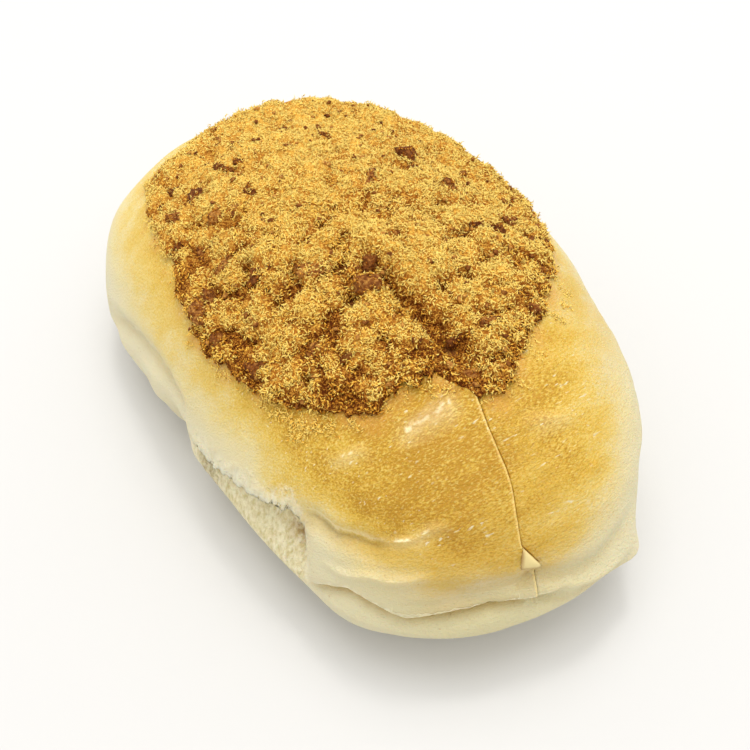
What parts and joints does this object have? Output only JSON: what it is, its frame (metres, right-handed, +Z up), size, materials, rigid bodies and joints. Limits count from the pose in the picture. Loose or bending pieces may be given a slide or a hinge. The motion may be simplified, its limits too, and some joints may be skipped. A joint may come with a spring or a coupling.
{
  "type": "pork floss bun",
  "caption": "Soft oblong milk bun with a browned top, a slit down its length, torn side walls and a heap of shredded pork floss pressed on its crown.",
  "frame": {"origin": "centre of the object's box, at the height of the surface it rests on", "axes": "+Z up, Y along the bun with its slit end towards -Y, X across the bun"},
  "size_m": [0.0796, 0.1212, 0.0473],
  "materials": {
    "crust": null,
    "floss": null
  },
  "bodies": {
    "root": {"bun": "crust", "floss": "floss"}
  },
  "joints": []
}
